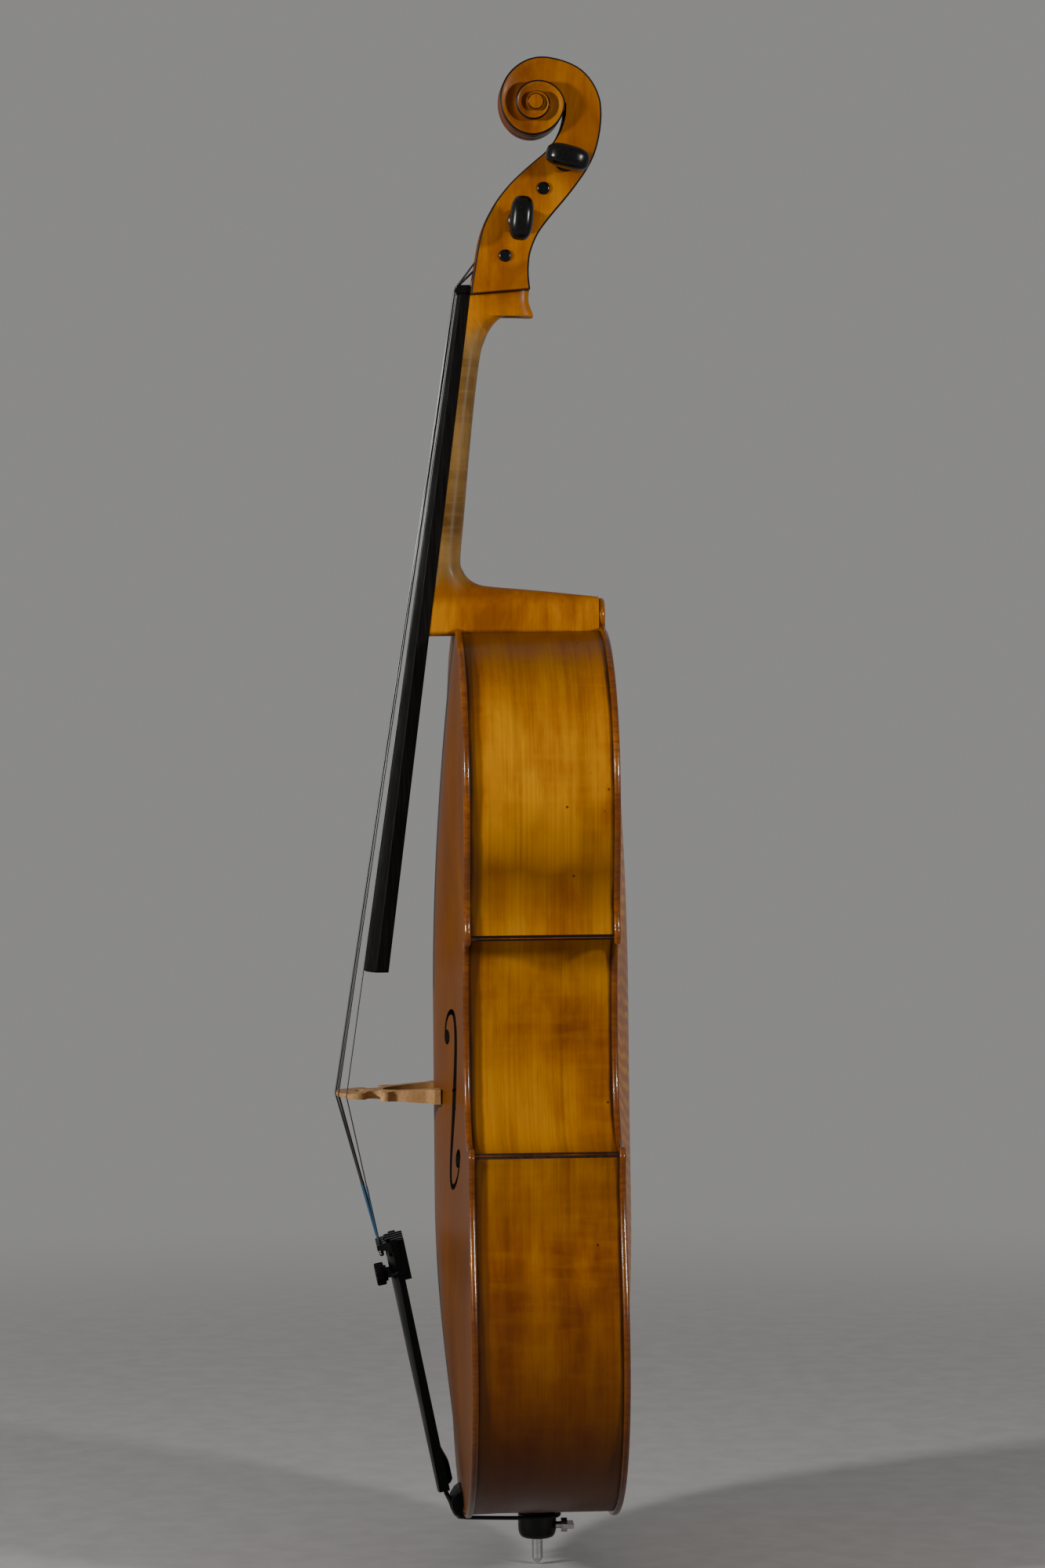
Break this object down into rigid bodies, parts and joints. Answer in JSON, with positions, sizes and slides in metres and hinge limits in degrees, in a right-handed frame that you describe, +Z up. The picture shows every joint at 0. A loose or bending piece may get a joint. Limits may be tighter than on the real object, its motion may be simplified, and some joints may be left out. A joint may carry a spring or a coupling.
{
  "type": "cello",
  "caption": "Full-size cello with arched plates, bent ribs, carved scroll, friction pegs, ebony fingerboard, maple bridge, tailpiece with fine tuners and a sliding endpin.",
  "frame": {"origin": "tip of the endpin in its stored position, on the endpin's axis at the middle of the rib depth", "axes": "+Z up the body towards the scroll, -Y out of the belly, +X the treble side (the player's left hand peg side of the A and D strings)"},
  "size_m": [0.44, 0.251, 1.2822],
  "materials": {
    "belly_spruce": "glossy varnish",
    "figured_maple": "glossy varnish",
    "purfling_wood": "varnished",
    "inner_spruce": "raw",
    "neck_maple": "oiled handle, varnished head",
    "ebony": "satin",
    "bridge_maple": "raw",
    "black_composite": "satin",
    "steel": "satin",
    "tail_cord": "matte",
    "string_metal": "polished winding",
    "blue_silk": "matte",
    "peg_ebony": "polished"
  },
  "bodies": {
    "cello_body": {"top_plate": "belly_spruce", "back_plate": "figured_maple", "purfling_top": "purfling_wood", "purfling_back": "purfling_wood", "rib_lower_treble": "figured_maple", "rib_lower_bass": "figured_maple", "rib_center_treble": "figured_maple", "rib_center_bass": "figured_maple", "rib_upper_treble": "figured_maple", "rib_upper_bass": "figured_maple", "linings_top": "inner_spruce", "linings_back": "inner_spruce", "neck_block": "inner_spruce", "end_block": "inner_spruce", "corner_blocks": "inner_spruce", "bass_bar": "inner_spruce", "sound_post": "inner_spruce", "neck": "neck_maple", "fingerboard": "ebony", "nut": "ebony", "saddle": "ebony", "bridge": "bridge_maple", "tailpiece": "black_composite", "tuner_axle": "steel", "tail_gut": "tail_cord", "endpin_plug": "black_composite", "string_c": "string_metal", "string_silk_c": "blue_silk", "string_g": "string_metal", "string_silk_g": "blue_silk", "string_d": "string_metal", "string_silk_d": "blue_silk", "string_a": "string_metal", "string_silk_a": "blue_silk"},
    "peg_c": {"peg_c": "peg_ebony", "winding_c": "string_metal"},
    "peg_a": {"peg_a": "peg_ebony", "winding_a": "string_metal"},
    "peg_g": {"peg_g": "peg_ebony", "winding_g": "string_metal"},
    "peg_d": {"peg_d": "peg_ebony", "winding_d": "string_metal"},
    "tuner_screw_c": {"tuner_screw_c": "steel"},
    "tuner_knob_c": {"tuner_knob_c": "black_composite"},
    "tuner_lever_c": {"tuner_lever_c": "steel"},
    "tuner_screw_g": {"tuner_screw_g": "steel"},
    "tuner_knob_g": {"tuner_knob_g": "black_composite"},
    "tuner_lever_g": {"tuner_lever_g": "steel"},
    "tuner_screw_d": {"tuner_screw_d": "steel"},
    "tuner_knob_d": {"tuner_knob_d": "black_composite"},
    "tuner_lever_d": {"tuner_lever_d": "steel"},
    "tuner_screw_a": {"tuner_screw_a": "steel"},
    "tuner_knob_a": {"tuner_knob_a": "black_composite"},
    "tuner_lever_a": {"tuner_lever_a": "steel"},
    "endpin": {"endpin_rod": "steel"},
    "clamp_screw": {"clamp_screw": "steel"}
  },
  "joints": [
    {"name": "peg_turn_c", "type": "hinge", "parent": "cello_body", "child": "peg_c", "pos_m": [0, -0.018, 1.1142], "axis": [1, 0, 0], "continuous": true},
    {"name": "peg_turn_a", "type": "hinge", "parent": "cello_body", "child": "peg_a", "pos_m": [0, -0.0055, 1.1435], "axis": [1, 0, 0], "continuous": true},
    {"name": "peg_turn_g", "type": "hinge", "parent": "cello_body", "child": "peg_g", "pos_m": [0, 0.015, 1.171], "axis": [1, 0, 0], "continuous": true},
    {"name": "peg_turn_d", "type": "hinge", "parent": "cello_body", "child": "peg_d", "pos_m": [0, 0.034, 1.1945], "axis": [1, 0, 0], "continuous": true},
    {"name": "tuner_travel_c", "type": "slide", "parent": "cello_body", "child": "tuner_screw_c", "axis": [0, 0.9796, 0.2011], "range_m": [-0.0021, 0.00175]},
    {"name": "tuner_turn_c", "type": "hinge", "parent": "tuner_screw_c", "child": "tuner_knob_c", "pos_m": [-0.0222, -0.12361, 0.25239], "axis": [0, 0.9796, 0.2011], "range_deg": [-1090, 910]},
    {"name": "tuner_pivot_c", "type": "hinge", "parent": "cello_body", "child": "tuner_lever_c", "pos_m": [-0.0222, -0.11989, 0.27408], "axis": [1, 0, 0], "range_deg": [-7, 6]},
    {"name": "tuner_travel_g", "type": "slide", "parent": "cello_body", "child": "tuner_screw_g", "axis": [0, 0.9796, 0.2011], "range_m": [-0.0021, 0.00175]},
    {"name": "tuner_turn_g", "type": "hinge", "parent": "tuner_screw_g", "child": "tuner_knob_g", "pos_m": [-0.0074, -0.12361, 0.25239], "axis": [0, 0.9796, 0.2011], "range_deg": [-1090, 910]},
    {"name": "tuner_pivot_g", "type": "hinge", "parent": "cello_body", "child": "tuner_lever_g", "pos_m": [-0.0074, -0.11989, 0.27408], "axis": [1, 0, 0], "range_deg": [-7, 6]},
    {"name": "tuner_travel_d", "type": "slide", "parent": "cello_body", "child": "tuner_screw_d", "axis": [0, 0.9796, 0.2011], "range_m": [-0.0021, 0.00175]},
    {"name": "tuner_turn_d", "type": "hinge", "parent": "tuner_screw_d", "child": "tuner_knob_d", "pos_m": [0.0074, -0.12361, 0.25239], "axis": [0, 0.9796, 0.2011], "range_deg": [-1090, 910]},
    {"name": "tuner_pivot_d", "type": "hinge", "parent": "cello_body", "child": "tuner_lever_d", "pos_m": [0.0074, -0.11989, 0.27408], "axis": [1, 0, 0], "range_deg": [-7, 6]},
    {"name": "tuner_travel_a", "type": "slide", "parent": "cello_body", "child": "tuner_screw_a", "axis": [0, 0.9796, 0.2011], "range_m": [-0.0021, 0.00175]},
    {"name": "tuner_turn_a", "type": "hinge", "parent": "tuner_screw_a", "child": "tuner_knob_a", "pos_m": [0.0222, -0.12361, 0.25239], "axis": [0, 0.9796, 0.2011], "range_deg": [-1090, 910]},
    {"name": "tuner_pivot_a", "type": "hinge", "parent": "cello_body", "child": "tuner_lever_a", "pos_m": [0.0222, -0.11989, 0.27408], "axis": [1, 0, 0], "range_deg": [-7, 6]},
    {"name": "endpin_slide", "type": "slide", "parent": "cello_body", "child": "endpin", "axis": [0, 0, -1], "range_m": [0, 0.4]},
    {"name": "clamp_screw_turn", "type": "hinge", "parent": "cello_body", "child": "clamp_screw", "pos_m": [0, 0.0125, 0.033], "axis": [0, 1, 0], "range_deg": [-720, 90]}
  ],
  "couplings": [
    {"joint": "tuner_turn_c", "follows": "tuner_travel_c", "rad_per_m": 8976},
    {"joint": "tuner_pivot_c", "follows": "tuner_travel_c", "rad_per_m": 48.781},
    {"joint": "tuner_turn_g", "follows": "tuner_travel_g", "rad_per_m": 8976},
    {"joint": "tuner_pivot_g", "follows": "tuner_travel_g", "rad_per_m": 48.781},
    {"joint": "tuner_turn_d", "follows": "tuner_travel_d", "rad_per_m": 8976},
    {"joint": "tuner_pivot_d", "follows": "tuner_travel_d", "rad_per_m": 48.781},
    {"joint": "tuner_turn_a", "follows": "tuner_travel_a", "rad_per_m": 8976},
    {"joint": "tuner_pivot_a", "follows": "tuner_travel_a", "rad_per_m": 48.781}
  ]
}
